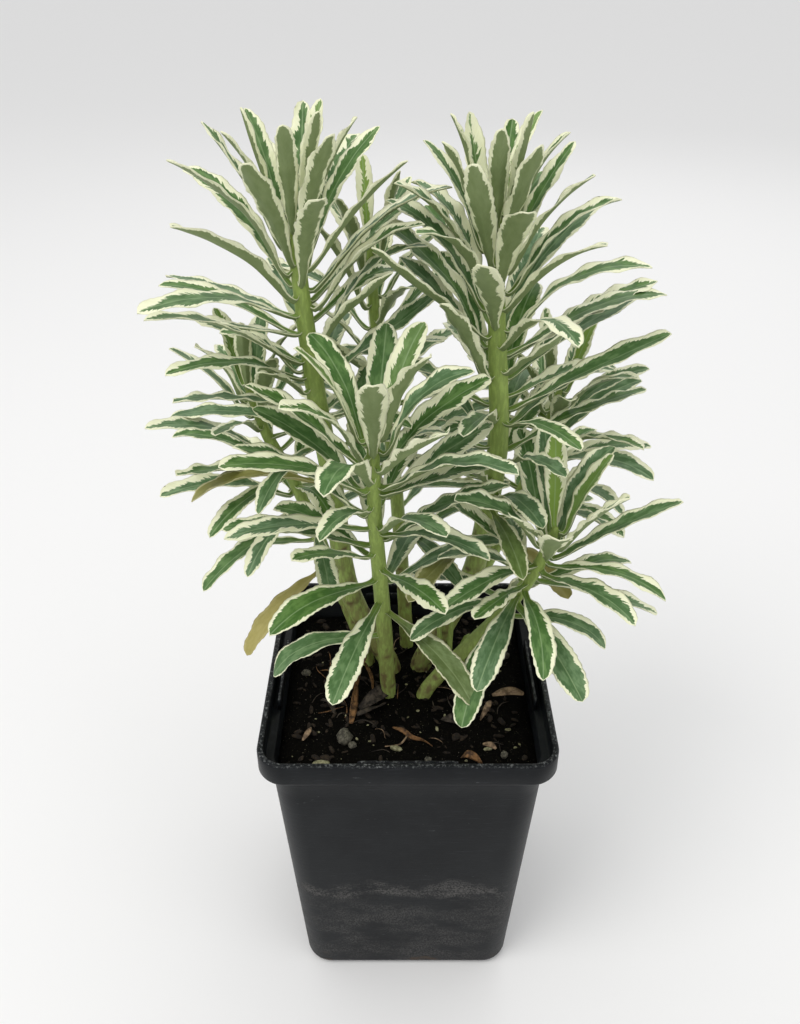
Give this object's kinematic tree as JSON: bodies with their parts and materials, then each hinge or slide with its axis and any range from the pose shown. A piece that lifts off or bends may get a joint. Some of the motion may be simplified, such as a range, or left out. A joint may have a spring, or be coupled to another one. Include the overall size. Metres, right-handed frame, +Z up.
{
  "type": "potted euphorbia",
  "caption": "Bushy euphorbia with toothed, cream-edged leaves on upright stems, growing in soil in a tapered square nursery pot that stands on its flat foot.",
  "frame": {"origin": "middle of the pot's foot, on the surface that the pot stands on", "axes": "+Z up along the plant; the pot's front side faces -Y; +X is to the right seen from the front"},
  "size_m": [0.1975, 0.1532, 0.36],
  "materials": {
    "pot_plastic": "satin black recycled plastic with scuffs and dried soil marks",
    "soil_mix": "moist peat and bark potting mix",
    "old_stem": "ageing yellow-green stem with leaf scars",
    "green_stem": "smooth yellow-green stem",
    "leaf_green": "waxy grey-green leaf with an irregular cream edge",
    "young_leaf": "soft yellow-green new leaf with a cream edge",
    "dry_leaf": "dried brown curled leaf"
  },
  "bodies": {
    "root": {"pot": "pot_plastic", "soil": "soil_mix", "left_tall_stem": "old_stem", "right_tall_stem": "old_stem", "front_stem": "green_stem", "right_front_stem": "green_stem", "centre_back_stem": "green_stem", "left_low_stem": "green_stem", "right_back_stem": "green_stem", "broken_stub_stem": "green_stem", "thin_twig_left_stem": "green_stem", "thin_twig_right_stem": "green_stem", "fallen_leaf_left": "dry_leaf", "fallen_leaf_right": "dry_leaf", "left_tall_leaves_1": "leaf_green", "left_tall_leaves_2": "leaf_green", "left_tall_leaves_3": "leaf_green", "left_tall_leaves_4": "leaf_green", "left_tall_leaves_5": "leaf_green", "left_tall_leaves_6": "leaf_green", "left_tall_leaves_7": "young_leaf", "right_tall_leaves_1": "leaf_green", "right_tall_leaves_2": "leaf_green", "right_tall_leaves_3": "leaf_green", "right_tall_leaves_4": "leaf_green", "right_tall_leaves_5": "leaf_green", "right_tall_leaves_6": "leaf_green", "right_tall_leaves_7": "leaf_green", "right_tall_leaves_8": "leaf_green", "right_tall_leaves_9": "young_leaf", "front_leaves_1": "leaf_green", "front_leaves_2": "leaf_green", "front_leaves_3": "leaf_green", "front_leaves_4": "leaf_green", "front_leaves_5": "leaf_green", "front_leaves_6": "leaf_green", "front_leaves_7": "young_leaf", "right_front_leaves_1": "leaf_green", "right_front_leaves_2": "leaf_green", "right_front_leaves_3": "leaf_green", "right_front_leaves_4": "leaf_green", "right_front_leaves_5": "young_leaf", "centre_back_leaves_1": "leaf_green", "centre_back_leaves_2": "leaf_green", "centre_back_leaves_3": "leaf_green", "centre_back_leaves_4": "leaf_green", "centre_back_leaves_5": "young_leaf", "left_low_leaves_1": "leaf_green", "left_low_leaves_2": "leaf_green", "left_low_leaves_3": "leaf_green", "left_low_leaves_4": "leaf_green", "left_low_leaves_5": "young_leaf", "right_back_leaves_1": "leaf_green", "right_back_leaves_2": "leaf_green", "right_back_leaves_3": "leaf_green", "right_back_leaves_4": "leaf_green", "right_back_leaves_5": "young_leaf"}
  },
  "joints": []
}
